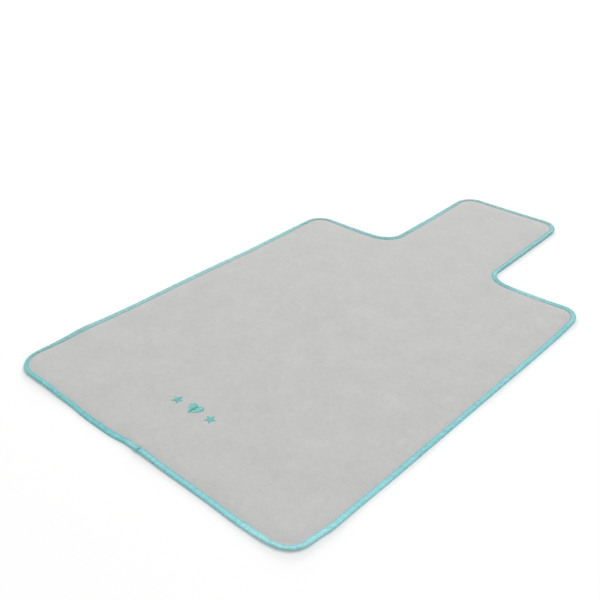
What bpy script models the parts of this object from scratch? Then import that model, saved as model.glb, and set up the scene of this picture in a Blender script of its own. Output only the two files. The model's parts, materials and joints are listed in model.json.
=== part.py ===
"""Changing pad: a thin mat with a tab, made of four cloths and a wadding, bound round with satin tape.

Every cloth is one closed solid in the pad and one in the tab, parted where the tab folds. The solids
keep a small gap to each other, which stands for the places where the cloths touch.

Units are metres. The origin lies on the ground under the middle of the outline, +Z is up, and +Y
runs from the pad's front edge to the tab's tip.
"""

import math

import bmesh
import bpy
from mathutils import Vector

MM = 0.001

# Outline
PAD_WIDTH = 500 * MM
PAD_LENGTH = 608 * MM
TAB_WIDTH = 190 * MM
TAB_LENGTH = 240 * MM
PAD_CORNER = 38 * MM
TAB_CORNER = 32 * MM
NOTCH_CORNER = 30 * MM
CORNER_STEPS = 10

# Thickness of each cloth, and the gap kept between neighbours
GAP = 0.3 * MM
TAPE = 0.35 * MM
BASE_CLOTH = 0.4 * MM
FILM = 0.15 * MM
WADDING = 1.8 * MM
STABILISER = 0.15 * MM
TOP_COVER = 0.8 * MM

# Edge binding: visible width of each leg, and the radius of its rounded nose
TAPE_LEG = 8 * MM
NOSE = 1.2 * MM
NOSE_STEPS = 3

# How far in from the outline each cloth starts and ends its slope from the bound rim to the open field
SLOPE_START = 9.5 * MM
BASE_SLOPE_END = 12.5 * MM
COVER_SLOPE_END = 20.5 * MM
WADDING_START = 12.5 * MM
WADDING_FULL = 18.5 * MM
WADDING_EDGE = 0.85 * MM

# Binding stitching and the lapped end of the tape
STITCHING_INSET = 6.6 * MM
STITCHING_WIDTH = 0.5 * MM
STITCHING_HEIGHT = 0.25 * MM
LAP_MIDDLE_X = 4 * MM
LAP_LENGTH = 16 * MM
LAP_LEG = 5.8 * MM

# Embroidery: a heart between two stars, on the midline near the front edge
MOTIF_FROM_FRONT = 94 * MM
MOTIF_HEIGHT = 0.4 * MM
HEART_WIDTH = 22 * MM
HEART_POINTS = 48
STAR_RADIUS = 7.5 * MM
STAR_INNER_SHARE = 0.5
STAR_TIPS = 5
STAR_SPACING = 29 * MM
PATCH_WIDTH = 92 * MM
PATCH_LENGTH = 36 * MM
PATCH_CORNER = 6 * MM

# The tab's fold: its line lies past the notches, and its axis above the cover, for room to lie flat
FOLD_PAST_NOTCH = 2 * MM
FOLD_GAP = 0.3 * MM
FOLD_AXIS_RISE = 1.0 * MM

# Stack in the bound rim, from the ground up: underside of each cloth
BASE_RIM = TAPE + GAP
FILM_RIM = BASE_RIM + BASE_CLOTH + GAP
COVER_RIM = FILM_RIM + FILM + GAP
RIM_HEIGHT = COVER_RIM + TOP_COVER + GAP + TAPE

# Stack in the open field, from the ground up: underside of each cloth
BASE_FIELD = 0.0
FILM_FIELD = BASE_FIELD + BASE_CLOTH + GAP
WADDING_FIELD = FILM_FIELD + FILM + GAP
STABILISER_FIELD = WADDING_FIELD + WADDING + GAP
COVER_FIELD = STABILISER_FIELD + STABILISER + GAP
COVER_TOP = COVER_FIELD + TOP_COVER

# Places along Y: the lap stands proud of the front edge, and the whole is centred on the origin
LAP_PROUD = GAP + TAPE
FRONT_Y = (LAP_PROUD - PAD_LENGTH - TAB_LENGTH) / 2
BACK_Y = FRONT_Y + PAD_LENGTH
TIP_Y = BACK_Y + TAB_LENGTH
FOLD_Y = BACK_Y + NOTCH_CORNER + FOLD_PAST_NOTCH
FOLD_AXIS_Z = COVER_TOP + FOLD_AXIS_RISE
MOTIF_Y = FRONT_Y + MOTIF_FROM_FRONT

GREY_VELOUR = (0.565, 0.565, 0.552)
TURQUOISE = (0.125, 0.507, 0.527)
TURQUOISE_THREAD = (0.082, 0.42, 0.445)
WHITE_FILM = (0.82, 0.83, 0.84)
WHITE_WADDING = (0.86, 0.86, 0.85)
GREY_BASE = (0.43, 0.43, 0.425)
WHITE_PATCH = (0.8, 0.8, 0.79)


def clear_scene():
    """Remove whatever the scene holds."""
    for item in list(bpy.data.objects):
        bpy.data.objects.remove(item)


def cloth_material(name, colour, roughness):
    """Principled material of one cloth or thread."""
    material = bpy.data.materials.new(name)
    material.use_nodes = True
    shader = material.node_tree.nodes["Principled BSDF"]
    shader.inputs["Base Color"].default_value = (*colour, 1.0)
    shader.inputs["Roughness"].default_value = roughness
    shader.inputs["Metallic"].default_value = 0.0
    return material


def add_object(name, solid, material, parent=None):
    """Link the finished solid, drawn in world coordinates, with its origin at its parent's place."""
    place = parent.location if parent else Vector((0, 0, 0))
    bmesh.ops.translate(solid, verts=solid.verts, vec=-place)
    bmesh.ops.recalc_face_normals(solid, faces=solid.faces)
    data = bpy.data.meshes.new(name)
    solid.to_mesh(data)
    solid.free()
    data.materials.append(material)
    item = bpy.data.objects.new(name, data)
    item.parent = parent
    bpy.context.collection.objects.link(item)
    return item


def outline_corners():
    """Rounded corners, anticlockwise from front right: centre x, centre y, radius, first angle, turn."""
    side = PAD_WIDTH / 2
    tab_side = TAB_WIDTH / 2
    right = [
        (side - PAD_CORNER, FRONT_Y + PAD_CORNER, PAD_CORNER, -90, 90),
        (side - PAD_CORNER, BACK_Y - PAD_CORNER, PAD_CORNER, 0, 90),
        (tab_side + NOTCH_CORNER, BACK_Y + NOTCH_CORNER, NOTCH_CORNER, 270, -90),
        (tab_side - TAB_CORNER, TIP_Y - TAB_CORNER, TAB_CORNER, 0, 90),
    ]
    left = [(-x, y, radius, 180 - first - turn, turn) for x, y, radius, first, turn in reversed(right)]
    return right + left


def outline(inset):
    """Points of the outline moved inwards by inset, as many for every inset."""
    points = []
    for x, y, radius, first, turn in outline_corners():
        reach = radius - inset if turn > 0 else radius + inset
        for step in range(CORNER_STEPS + 1):
            angle = math.radians(first + turn * step / CORNER_STEPS)
            points.append((x + reach * math.cos(angle), y + reach * math.sin(angle)))
    return points


def swept_round(profile, closed):
    """Solid with the same (inset, height) profile all round the outline.

    A closed profile gives a ring. An open one runs from the middle of the underside, out round the
    rim and back to the middle of the top, and both middles are filled.
    """
    solid = bmesh.new()
    rings = [[solid.verts.new((x, y, height)) for x, y in outline(inset)] for inset, height in profile]
    walls = list(zip(rings, rings[1:]))
    if closed:
        walls.append((rings[-1], rings[0]))
    else:
        solid.faces.new(rings[0][::-1])
        solid.faces.new(rings[-1])
    for lower, upper in walls:
        for here in range(len(lower)):
            solid.faces.new((lower[here - 1], lower[here], upper[here], upper[here - 1]))
    return solid


def part_of(solid, keep_tab):
    """Copy of the solid cut off at the fold line: its tab, or its pad."""
    half_gap = FOLD_GAP / 2 if keep_tab else -FOLD_GAP / 2
    piece = solid.copy()
    bmesh.ops.bisect_plane(
        piece,
        geom=piece.verts[:] + piece.edges[:] + piece.faces[:],
        dist=1e-7,
        plane_co=(0, FOLD_Y + half_gap, 0),
        plane_no=(0, 1, 0),
        clear_inner=keep_tab,
        clear_outer=not keep_tab,
    )
    open_edges = [edge for edge in piece.edges if edge.is_boundary]
    bmesh.ops.holes_fill(piece, edges=open_edges, sides=0)
    return piece


def add_pad_and_tab(name, solid, material, tab_axis):
    """Add the solid as two objects that meet at the fold line."""
    add_object(f"{name}_pad", part_of(solid, keep_tab=False), material)
    add_object(f"{name}_tab", part_of(solid, keep_tab=True), material, tab_axis)
    solid.free()


def sloping_profile(rim, field, thickness, slope_end):
    """Profile of a cloth that is caught in the binding and slopes to its level in the field."""
    return [
        (slope_end, field),
        (SLOPE_START, rim),
        (NOSE, rim),
        (NOSE, rim + thickness),
        (SLOPE_START, rim + thickness),
        (slope_end, field + thickness),
    ]


def tape_path(offset, top_leg, bottom_leg):
    """(inset, height) points along the tape round the rim, offset outwards from the binding's face.

    With no bottom leg the path starts on the front of the nose.
    """
    points = [(bottom_leg, -offset)] if bottom_leg else []
    arcs = [(RIM_HEIGHT - NOSE, 180)]
    if bottom_leg:
        arcs.insert(0, (NOSE, 270))
    else:
        points.append((-offset, NOSE))
    for height, first in arcs:
        for step in range(NOSE_STEPS + 1):
            angle = math.radians(first - 90 * step / NOSE_STEPS)
            reach = NOSE + offset
            points.append((NOSE + reach * math.cos(angle), height + reach * math.sin(angle)))
    points.append((top_leg, RIM_HEIGHT + offset))
    return points


def extruded(points, depth):
    """Solid made from a closed polygon of 3D points, extruded by the vector depth."""
    solid = bmesh.new()
    face = solid.faces.new([solid.verts.new(point) for point in points])
    made = bmesh.ops.extrude_face_region(solid, geom=[face])
    moved = [item for item in made["geom"] if isinstance(item, bmesh.types.BMVert)]
    bmesh.ops.translate(solid, verts=moved, vec=depth)
    return solid


def add_cloths(tab_axis):
    """The cloths and the wadding, from the ground up."""
    base = sloping_profile(BASE_RIM, BASE_FIELD, BASE_CLOTH, BASE_SLOPE_END)
    base_material = cloth_material("woven_base_cloth", GREY_BASE, 0.8)
    add_pad_and_tab("base_cloth", swept_round(base, closed=False), base_material, tab_axis)

    film = sloping_profile(FILM_RIM, FILM_FIELD, FILM, BASE_SLOPE_END)
    film_material = cloth_material("waterproof_film", WHITE_FILM, 0.4)
    add_pad_and_tab("waterproof_film", swept_round(film, closed=False), film_material, tab_axis)

    wadding = [
        (WADDING_START, WADDING_FIELD),
        (WADDING_START, WADDING_FIELD + WADDING_EDGE),
        (WADDING_FULL, WADDING_FIELD + WADDING),
    ]
    wadding_material = cloth_material("wadding", WHITE_WADDING, 0.95)
    add_pad_and_tab("wadding", swept_round(wadding, closed=False), wadding_material, tab_axis)

    cover = sloping_profile(COVER_RIM, COVER_FIELD, TOP_COVER, COVER_SLOPE_END)
    cover_material = cloth_material("brushed_velour", GREY_VELOUR, 0.9)
    add_pad_and_tab("top_cover", swept_round(cover, closed=False), cover_material, tab_axis)


def add_binding(tab_axis):
    """The satin tape round the rim, its lapped end and its row of stitching."""
    satin = cloth_material("satin_tape", TURQUOISE, 0.4)
    outer = tape_path(0, TAPE_LEG, TAPE_LEG)
    inner = tape_path(-TAPE, TAPE_LEG, TAPE_LEG)
    add_pad_and_tab("edge_binding", swept_round(outer + inner[::-1], closed=True), satin, tab_axis)

    outer = tape_path(GAP + TAPE, LAP_LEG, 0)
    inner = tape_path(GAP, LAP_LEG, 0)
    lap_x = LAP_MIDDLE_X - LAP_LENGTH / 2
    section = [(lap_x, FRONT_Y + inset, height) for inset, height in outer + inner[::-1]]
    add_object("binding_lap", extruded(section, (LAP_LENGTH, 0, 0)), satin)

    low = RIM_HEIGHT + GAP
    high = low + STITCHING_HEIGHT
    out = STITCHING_INSET - STITCHING_WIDTH / 2
    far = STITCHING_INSET + STITCHING_WIDTH / 2
    row = [(out, low), (out, high), (far, high), (far, low)]
    thread = cloth_material("binding_thread", TURQUOISE_THREAD, 0.5)
    add_pad_and_tab("binding_stitching", swept_round(row, closed=True), thread, tab_axis)


def heart_points(middle_x, middle_y, height):
    """Outline of a heart, from the usual sine curve, which is 32 units wide."""
    unit = HEART_WIDTH / 32
    points = []
    for step in range(HEART_POINTS):
        turn = math.tau * (step + 0.5) / HEART_POINTS
        across = 16 * math.sin(turn) ** 3
        along = 13 * math.cos(turn) - 5 * math.cos(2 * turn) - 2 * math.cos(3 * turn) - math.cos(4 * turn)
        points.append((middle_x + unit * across, middle_y + unit * (along + 2.5), height))
    return points


def star_points(middle_x, middle_y, height):
    """Outline of a star with one tip up."""
    points = []
    for step in range(2 * STAR_TIPS):
        angle = math.pi / 2 + math.pi * step / STAR_TIPS
        reach = STAR_RADIUS if step % 2 == 0 else STAR_RADIUS * STAR_INNER_SHARE
        across = middle_x + reach * math.cos(angle)
        points.append((across, middle_y + reach * math.sin(angle), height))
    return points


def patch_points(height):
    """Outline of the stabiliser patch, a rectangle with its corners cut off."""
    side = PATCH_WIDTH / 2
    end = PATCH_LENGTH / 2
    quarter = [(side, end - PATCH_CORNER), (side - PATCH_CORNER, end)]
    half = quarter + [(-x, y) for x, y in reversed(quarter)]
    whole = half + [(-x, -y) for x, y in half]
    return [(x, MOTIF_Y + y, height) for x, y in whole]


def add_embroidery():
    """The stabiliser patch under the cover, and the motifs on it."""
    patch = cloth_material("embroidery_stabiliser", WHITE_PATCH, 0.9)
    add_object("embroidery_stabiliser", extruded(patch_points(STABILISER_FIELD), (0, 0, STABILISER)), patch)

    thread = cloth_material("embroidery_thread", TURQUOISE_THREAD, 0.45)
    height = COVER_TOP + GAP
    rise = (0, 0, MOTIF_HEIGHT)
    add_object("motif_heart", extruded(heart_points(0, MOTIF_Y, height), rise), thread)
    for side, sign in (("left", -1), ("right", 1)):
        star = extruded(star_points(sign * STAR_SPACING, MOTIF_Y, height), rise)
        add_object(f"motif_star_{side}", star, thread)


def build():
    clear_scene()
    tab_axis = bpy.data.objects.new("tab_fold_axis", None)
    tab_axis.location = (0, FOLD_Y, FOLD_AXIS_Z)
    bpy.context.collection.objects.link(tab_axis)
    add_cloths(tab_axis)
    add_binding(tab_axis)
    add_embroidery()


build()
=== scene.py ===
"""Changing pad: a thin mat of layered cloth, bound round in satin tape, with a tab that folds onto it.

The file is laid out as an add-on with one operator for each piece, and is run as a script: it loads
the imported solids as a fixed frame, builds every cloth, tape, stitch and motif over them, and sets the
stage. Units are metres, +Z is up, and +Y runs from the pad's front edge to the tab's tip.
"""

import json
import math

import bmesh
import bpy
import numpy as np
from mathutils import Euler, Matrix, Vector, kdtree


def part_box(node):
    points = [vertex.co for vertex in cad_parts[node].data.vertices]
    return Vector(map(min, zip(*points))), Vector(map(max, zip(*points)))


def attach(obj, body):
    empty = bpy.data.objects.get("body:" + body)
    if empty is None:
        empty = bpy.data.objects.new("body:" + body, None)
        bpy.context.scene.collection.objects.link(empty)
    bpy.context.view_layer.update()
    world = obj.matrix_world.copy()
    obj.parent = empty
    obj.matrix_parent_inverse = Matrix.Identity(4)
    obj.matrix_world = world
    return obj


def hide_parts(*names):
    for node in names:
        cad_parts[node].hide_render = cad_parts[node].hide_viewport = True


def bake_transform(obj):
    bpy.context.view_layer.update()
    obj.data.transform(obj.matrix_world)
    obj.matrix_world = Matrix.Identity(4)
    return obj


bl_info = {
    "name": "Changing Pad",
    "version": (1, 0, 0),
    "blender": (4, 5, 0),
    "location": "3D View > Sidebar > Changing Pad",
    "description": "Builds a bound cloth changing pad with a fold-over tab, and its stage",
    "category": "Add Mesh",
}

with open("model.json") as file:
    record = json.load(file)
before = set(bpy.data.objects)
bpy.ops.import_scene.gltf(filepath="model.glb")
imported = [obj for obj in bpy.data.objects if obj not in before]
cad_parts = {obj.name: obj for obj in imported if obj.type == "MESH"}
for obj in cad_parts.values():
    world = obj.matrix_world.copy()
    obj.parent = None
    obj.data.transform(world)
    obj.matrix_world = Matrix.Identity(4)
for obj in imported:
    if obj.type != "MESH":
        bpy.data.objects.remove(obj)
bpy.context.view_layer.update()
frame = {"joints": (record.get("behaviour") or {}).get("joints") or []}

MM = 0.001

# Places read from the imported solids
BINDING_LOW, BINDING_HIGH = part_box("edge_binding_pad")
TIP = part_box("edge_binding_tab")[1]
PATCH_LOW, PATCH_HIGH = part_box("embroidery_stabiliser")
HEART_LOW, HEART_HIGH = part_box("motif_heart")
STAR_LOW, STAR_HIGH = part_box("motif_star_right")
LAP_LOW, LAP_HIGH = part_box("binding_lap")
FOLD_Y = frame["joints"][0]["pos_m"][1]

SIDE = BINDING_HIGH.x
FRONT_Y = BINDING_LOW.y
TAB_SIDE = TIP.x
TIP_Y = TIP.y

# The fold line lies this far past the notches' round corners, and the cloth bends over the length after it
FOLD_PAST_NOTCH = 2 * MM
BEND_LENGTH = 12 * MM
# About where the pad's back edge runs
BACK_Y = FOLD_Y - 32 * MM

# How far in from the outline the cloths start, and the wadding
CLOTH_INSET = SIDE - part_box("top_cover_pad")[1].x
WADDING_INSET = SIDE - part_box("wadding_pad")[1].x

# Thickness of each cloth
COVER_THICKNESS = 0.8 * MM
BASE_THICKNESS = 0.4 * MM
FILM_THICKNESS = 0.15 * MM
# Undersides of the cloths in the rim, where the seam presses them onto each other, and in the open field,
# where they lie on each other without the solids' gaps
BASE_RIM, BASE_FIELD = 0.38 * MM, 0.0
FILM_RIM, FILM_FIELD = 0.80 * MM, 0.42 * MM
COVER_RIM, COVER_FIELD = 0.97 * MM, 2.20 * MM
WADDING_FIELD = 0.60 * MM
COVER_TOP = COVER_FIELD + COVER_THICKNESS
# Room between the cover and the wadding's top
WADDING_GAP = 0.2 * MM
# The slope from the rim to the open field: where it starts, and its length under the cover and the base
SLOPE_START = 7 * MM
COVER_SLOPE = 28 * MM
BASE_SLOPE = 5 * MM

# Binding: inset of its seam, depth of the groove along it, and how far the free edge stands up beyond it
SEAM_INSET = 6.6 * MM
GROOVE = 0.12 * MM
LIP = 0.3 * MM
# Radii of the tape's folded edge, above and where it touches the ground
NOSE = 0.8 * MM
HEEL = 0.45 * MM
# Where the tape's lapped end stops, a little short of the solid's
LAP_EDGE = LAP_LOW.x * 0.22 + LAP_HIGH.x * 0.78

# Spacing of the places along the outline that insets are measured from
MEASURE_STEP = 2 * MM

# Ripples are sums of this many straight waves, whose lengths lie between these shares of the usual one
WAVES = 14
SHORTEST_WAVE, LONGEST_WAVE = 0.7, 1.5
# Scales the sum so that it mostly stays between -1 and 1
WAVE_SCALE = 0.6
# Seeds that set the kinds of ripple apart
COVER_BROAD, COVER_FINE, PUCKER_PATCHES, COVER_PUCKERS = 3, 5, 8, 11
TAPE_PUCKERS, TAPE_FOLDS, TAPE_PATCHES = 21, 22, 23
EDGE_LOOSENESS = 31


def rise(value, start, length):
    """Rise from 0 at start to 1 one length further on, with level ends."""
    share = np.clip((value - start) / length, 0.0, 1.0)
    return share * share * (3 - 2 * share)


def hump(value, middle, reach):
    """Round hump, 1 high at middle and about a third as high one reach away."""
    return np.exp(-(((value - middle) / reach) ** 2))


def fade(value, reach):
    """Fade from 1, where value is 0 or less, to about a third one reach further on."""
    return np.exp(-np.clip(value, 0, None) / reach)


def linear(code):
    """Linear red, green and blue of an sRGB hex colour."""
    channels = [int(code[place : place + 2], 16) / 255 for place in (0, 2, 4)]
    return tuple(c / 12.92 if c <= 0.04045 else ((c + 0.055) / 1.055) ** 2.4 for c in channels)


class PadShape(bpy.types.PropertyGroup):
    """Outline and relief of the pad's cloths."""

    pad_corner: bpy.props.FloatProperty(
        name="Pad Corner",
        description="Radius of the pad's two front corners",
        default=39 * MM,
        unit="LENGTH",
    )
    back_corner: bpy.props.FloatProperty(
        name="Back Corner",
        description="Radius of the pad's two back corners",
        default=31 * MM,
        unit="LENGTH",
    )
    tab_corner: bpy.props.FloatProperty(
        name="Tab Corner",
        description="Radius of the tab's two corners",
        default=32 * MM,
        unit="LENGTH",
    )
    notch_corner: bpy.props.FloatProperty(
        name="Notch Corner",
        description="Radius of the two inner corners beside the tab",
        default=30 * MM,
        unit="LENGTH",
    )
    mesh_step: bpy.props.FloatProperty(
        name="Mesh Step",
        description="Spacing of the cloths' mesh in the open field",
        default=5 * MM,
        unit="LENGTH",
    )
    loft: bpy.props.FloatProperty(
        name="Loft",
        description="How far the wadding lifts the cover above its flat level",
        default=0.25 * MM,
        unit="LENGTH",
    )
    ripple: bpy.props.FloatProperty(
        name="Ripple",
        description="Height of the cover's broad, shallow ripples",
        default=0.22 * MM,
        unit="LENGTH",
    )
    pucker: bpy.props.FloatProperty(
        name="Edge Pucker",
        description="Height of the cover's small puckers beside the binding",
        default=0.16 * MM,
        unit="LENGTH",
    )
    edge_lift: bpy.props.FloatProperty(
        name="Edge Lift",
        description="How far the bound edge stands off the ground, on average",
        default=0.9 * MM,
        unit="LENGTH",
    )
    tip_lift: bpy.props.FloatProperty(
        name="Tip Lift",
        description="How far the tab's tip stands off the ground",
        default=1.2 * MM,
        unit="LENGTH",
    )


class TapeShape(bpy.types.PropertyGroup):
    """Sizes of the binding tape and its stitching."""

    leg: bpy.props.FloatProperty(
        name="Leg",
        description="Width of the tape on each face of the pad",
        default=7.3 * MM,
        unit="LENGTH",
    )
    bead: bpy.props.FloatProperty(
        name="Bead Height",
        description="Height of the rounded bead that the tape forms round the rim",
        default=1.95 * MM,
        unit="LENGTH",
    )
    seam: bpy.props.FloatProperty(
        name="Seam Height",
        description="Height of the tape where its stitching presses the cloths together",
        default=2.1 * MM,
        unit="LENGTH",
    )
    thickness: bpy.props.FloatProperty(
        name="Thickness",
        description="Thickness of the folded tape",
        default=0.35 * MM,
        unit="LENGTH",
    )
    pucker: bpy.props.FloatProperty(
        name="Pucker",
        description="Height of the slanting puckers between the stitches",
        default=0.45 * MM,
        unit="LENGTH",
    )
    stitch_length: bpy.props.FloatProperty(
        name="Stitch Length",
        description="Distance from one stitch to the next",
        default=3 * MM,
        unit="LENGTH",
    )
    thread: bpy.props.FloatProperty(
        name="Thread",
        description="Thickness of the sewing thread",
        default=0.45 * MM,
        unit="LENGTH",
    )


class PadColours(bpy.types.PropertyGroup):
    """Colours of the pad's cloths and threads."""

    velour: bpy.props.FloatVectorProperty(
        name="Velour",
        description="Top cover",
        subtype="COLOR",
        default=linear("c5c5c3"),
    )
    satin: bpy.props.FloatVectorProperty(
        name="Satin",
        description="Binding tape",
        subtype="COLOR",
        default=linear("7dc6cb"),
    )
    # The thread's colour is the tape's turquoise made a little darker: painted shade of the groove it lies in
    thread: bpy.props.FloatVectorProperty(
        name="Thread",
        description="Sewing thread of the binding",
        subtype="COLOR",
        default=linear("62b4bb"),
    )
    embroidery: bpy.props.FloatVectorProperty(
        name="Embroidery",
        description="Embroidery thread",
        subtype="COLOR",
        default=linear("5cb6b0"),
    )
    base: bpy.props.FloatVectorProperty(
        name="Base",
        description="Woven base cloth",
        subtype="COLOR",
        default=linear("b0b0af"),
    )


# ---------------------------------------------------------------------------
# Outline
# ---------------------------------------------------------------------------


def outline_corners(shape):
    """Rounded corners, anticlockwise from front right: centre x, centre y, radius, first angle, turn."""
    back_y = FOLD_Y - FOLD_PAST_NOTCH - shape.notch_corner
    pad, back, tab, notch = shape.pad_corner, shape.back_corner, shape.tab_corner, shape.notch_corner
    right = [
        (SIDE - pad, FRONT_Y + pad, pad, -90, 90),
        (SIDE - back, back_y - back, back, 0, 90),
        (TAB_SIDE + notch, back_y + notch, notch, 270, -90),
        (TAB_SIDE - tab, TIP_Y - tab, tab, 0, 90),
    ]
    left = [(-x, y, radius, 180 - first - turn, turn) for x, y, radius, first, turn in reversed(right)]
    return right + left


def outline_places(shape, spacing, inset=0.0):
    """Places about one spacing apart along the outline moved inwards by inset.

    They run anticlockwise from the middle of the front edge, and each row is
    (x, y, outward x, outward y, distance along).
    """
    marks = [(0.0, FRONT_Y + inset, 0.0, -1.0)]
    for x, y, radius, first, turn in outline_corners(shape):
        bulge = 1 if turn > 0 else -1
        reach = radius - bulge * inset
        steps = max(4, round(abs(math.radians(turn)) * reach / spacing))
        for step in range(steps + 1):
            angle = math.radians(first + turn * step / steps)
            across, along = math.cos(angle), math.sin(angle)
            marks.append((x + reach * across, y + reach * along, bulge * across, bulge * along))
    places = []
    for here, there in zip(marks, marks[1:] + marks[:1]):
        parts = max(1, round(math.dist(here[:2], there[:2]) / spacing))
        places += [[a + (b - a) * part / parts for a, b in zip(here, there)] for part in range(parts)]
    places = np.array(places)
    runs = np.linalg.norm(np.roll(places[:, :2], -1, axis=0) - places[:, :2], axis=1)
    return np.column_stack([places, np.concatenate([[0], np.cumsum(runs)[:-1]])])


def measure_inset(shape, points):
    """For each point, how far it lies inside the outline, and how far along the outline that is."""
    places = outline_places(shape, MEASURE_STEP)
    tree = kdtree.KDTree(len(places))
    for index, place in enumerate(places):
        tree.insert((place[0], place[1], 0), index)
    tree.balance()
    nearest = np.array([tree.find((x, y, 0))[1] for x, y in points[:, :2]])
    found = places[nearest]
    inset = np.sum((found[:, :2] - points[:, :2]) * found[:, 2:4], axis=1)
    return np.maximum(inset, 0.0), found[:, 4]


def outline_length(places):
    """Full length round a closed row of places."""
    return places[-1, 4] + math.dist(places[-1, :2], places[0, :2])


def edge_length():
    """Full length round the pad's outline."""
    return outline_length(outline_places(bpy.context.scene.pad_shape, MEASURE_STEP))


def around_front(places):
    """Distance along the outline, negative on its last half, so that it is zero at the front's middle."""
    along, total = places[:, 4], outline_length(places)
    return np.where(along > total / 2, along - total, along)


# ---------------------------------------------------------------------------
# How the cloths lie
# ---------------------------------------------------------------------------


def waves(x, y, length, seed):
    """Smooth, even ripples about length apart, from -1 to 1 or so, the same at every run."""
    draw = np.random.default_rng(seed)
    total = np.zeros_like(x)
    for _ in range(WAVES):
        heading = draw.uniform(0, math.tau)
        pitch = math.tau / (length * draw.uniform(SHORTEST_WAVE, LONGEST_WAVE))
        total += np.sin(pitch * (x * math.cos(heading) + y * math.sin(heading)) + draw.uniform(0, math.tau))
    return total * math.sqrt(2 / WAVES) * WAVE_SCALE


def edge_waves(along, aside, size, seed):
    """Waves that run round the outline and meet where it starts."""
    length = edge_length()
    reach, turn = length / math.tau + aside, along / length * math.tau
    return waves(reach * np.cos(turn), reach * np.sin(turn), size, seed)


# Places where the bound edge stands off the ground: x, y, height and reach along the edge
EDGE_LIFTS = [
    (-0.72 * SIDE, FRONT_Y, 1.8 * MM, 48 * MM),
    (0.06 * SIDE, FRONT_Y, 1.1 * MM, 30 * MM),
    (0.97 * SIDE, FRONT_Y + 14 * MM, 2.2 * MM, 42 * MM),
    (SIDE, FRONT_Y + 70 * MM, 1.2 * MM, 25 * MM),
    (-SIDE, FRONT_Y + 110 * MM, 2.0 * MM, 26 * MM),
    (0.94 * SIDE, FOLD_Y - 45 * MM, 2.0 * MM, 34 * MM),
    (TAB_SIDE + 14 * MM, FOLD_Y - 24 * MM, 1.6 * MM, 26 * MM),
    (-TAB_SIDE - 16 * MM, FOLD_Y - 26 * MM, 1.3 * MM, 26 * MM),
    (TAB_SIDE, FOLD_Y + 85 * MM, 1.3 * MM, 70 * MM),
]
# How far in from the edge its looseness and these lifts reach
LOOSE_REACH = 14 * MM
LIFT_REACH = 22 * MM


def lift(shape, y, inset, along):
    """How far all the layers together stand off the ground."""
    tip = shape.tip_lift * np.clip((y - FOLD_Y) / (TIP_Y - FOLD_Y), 0, 1) ** 1.3
    loose = shape.edge_lift * (1 + 0.45 * edge_waves(along, 0, 150 * MM, EDGE_LOOSENESS))
    lifted = np.zeros_like(along)
    for place_x, place_y, height, reach in EDGE_LIFTS:
        here = measure_inset(shape, np.array([[place_x, place_y]]))[1][0]
        away = np.abs(along - here)
        lifted += height * hump(np.minimum(away, edge_length() - away), 0, reach)
    return tip + loose * fade(inset, LOOSE_REACH) + lifted * fade(inset, LIFT_REACH)


def sway(x, y):
    """How far the cloths lie off their even outline, to the right and to the back."""
    # The front edge bulges left of the tape's lap, is pulled in at the lap, and swells towards the right
    front = 1 - rise(y, FRONT_Y, 60 * MM)
    bulge = 2.3 * MM * rise(x, -125 * MM, 45 * MM) * (1 - rise(x, -46 * MM, 32 * MM))
    pull = 1.0 * MM * rise(x, -24 * MM, 12 * MM) * (1 - rise(x, 5 * MM, 60 * MM))
    swell = 1.4 * MM * hump(x, 172 * MM, 36 * MM) - 0.9 * MM * hump(x, 220 * MM, 13 * MM)
    # Its left corner is pushed in
    left_corner = rise(-x, 130 * MM, 50 * MM) * front
    # The long edges bow to the right, and the right one is nipped in twice near the front
    bow = (1.8 * MM - 0.7 * MM * x / SIDE) * hump(y, 30 * MM, 120 * MM)
    nip = 1.1 * MM * rise(x, 60 * MM, 150 * MM) * hump(y, -330 * MM, 50 * MM)
    nip += 3.6 * MM * rise(x, 150 * MM, 80 * MM) * hump(y, -388 * MM, 17 * MM)
    # The tab leans to the left, and its tip is drawn towards the pad
    lean = 2.0 * MM * rise(y, FOLD_Y - 20 * MM, TIP_Y - FOLD_Y)
    short = 1.9 * MM * rise(y, FOLD_Y, TIP_Y - FOLD_Y)
    # Two right-hand corners are drawn in where the tape turns round them
    drawn = hump(np.hypot(x - SIDE, y - BACK_Y + 10 * MM), 0, 38 * MM)
    drawn += hump(np.hypot(x - TAB_SIDE, y - TIP_Y + 10 * MM), 0, 34 * MM)
    aside = bow - nip - lean + 0.8 * MM * left_corner - 1.6 * MM * drawn
    return aside, (pull - bulge - swell) * front + 1.3 * MM * left_corner - short


def relief(shape, x, y, inset, along):
    """How far the cover and the wadding's top stand above their flat level in the open field."""
    open_field = rise(inset, 9 * MM, 14 * MM)
    broad = 0.7 * waves(x, y, 75 * MM, COVER_BROAD) + 0.3 * waves(x, y, 28 * MM, COVER_FINE)
    # Puckers radiate from the seam, come and go along it, and fade inwards
    patchy = 0.5 + 0.5 * edge_waves(along, 0, 260 * MM, PUCKER_PATCHES)
    ridges = edge_waves(along, inset * 0.3, 17 * MM, COVER_PUCKERS)
    puckers = patchy * ridges * fade(inset - 12 * MM, 13 * MM)
    return open_field * (shape.loft + shape.ripple * broad + shape.pucker * puckers)


# The lockstitch seam presses all the layers together, by this share of their height, up to this far beside it
SEAM_PRESS = 0.27
SEAM_REACH = 2.6 * MM


def settle(item, shape, share=0.0):
    """Lay a flat piece down on the ground; share is how much of the cover's relief each vertex takes."""
    points = read_points(item)
    x, y = points[:, 0].copy(), points[:, 1].copy()
    inset, along = measure_inset(shape, points)
    points[:, 2] += share * relief(shape, x, y, inset, along)
    points[:, 2] *= 1 - SEAM_PRESS * hump(inset, SEAM_INSET, SEAM_REACH)
    points[:, 2] += lift(shape, y, inset, along)
    aside, back = sway(x, y)
    points[:, 0] += aside
    points[:, 1] += back
    write_points(item, points)


# ---------------------------------------------------------------------------
# Mesh helpers
# ---------------------------------------------------------------------------


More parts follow.
